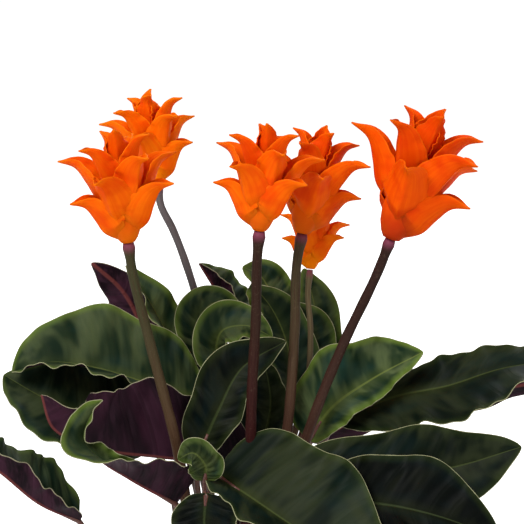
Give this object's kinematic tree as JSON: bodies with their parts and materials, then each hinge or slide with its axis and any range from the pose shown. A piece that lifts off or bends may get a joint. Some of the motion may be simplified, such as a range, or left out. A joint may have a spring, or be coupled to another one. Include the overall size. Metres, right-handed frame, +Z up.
{
  "type": "potted eternal flame calathea",
  "caption": "Flowering calathea in a plain nursery pot: dark, wavy-edged leaves with purple undersides, and cupped orange flower heads on tall bare stems.",
  "frame": {"origin": "centre of the flat underside of the pot", "axes": "+Z up, along the pot's axis. The plant's viewed side faces -Y, and +X is to the viewer's right"},
  "size_m": [0.3355, 0.2356, 0.3753],
  "materials": {
    "leaf": "satin",
    "bract": "satin",
    "flower_stem": "satin",
    "soil": "matte",
    "pot_plastic": "matte"
  },
  "bodies": {
    "root": {"leaf_01": "leaf", "leaf_02": "leaf", "leaf_03": "leaf", "leaf_04": "leaf", "leaf_05": "leaf", "leaf_06": "leaf", "leaf_07": "leaf", "leaf_08": "leaf", "leaf_09": "leaf", "leaf_10": "leaf", "leaf_11": "leaf", "leaf_12": "leaf", "leaf_13": "leaf", "leaf_14": "leaf", "leaf_15": "leaf", "leaf_16": "leaf", "leaf_17": "leaf", "leaf_18": "leaf", "leaf_19": "leaf", "leaf_20": "leaf", "leaf_21": "leaf", "leaf_22": "leaf", "leaf_23": "leaf", "leaf_24": "leaf", "leaf_25": "leaf", "leaf_26": "leaf", "leaf_27": "leaf", "bloom_1": "bract", "bloom_1_stem": "flower_stem", "bloom_2": "bract", "bloom_2_stem": "flower_stem", "bloom_3": "bract", "bloom_3_stem": "flower_stem", "bloom_4": "bract", "bloom_4_stem": "flower_stem", "bloom_5": "bract", "bloom_5_stem": "flower_stem", "bloom_6": "bract", "bloom_6_stem": "flower_stem", "soil": "soil", "pot": "pot_plastic"}
  },
  "joints": []
}
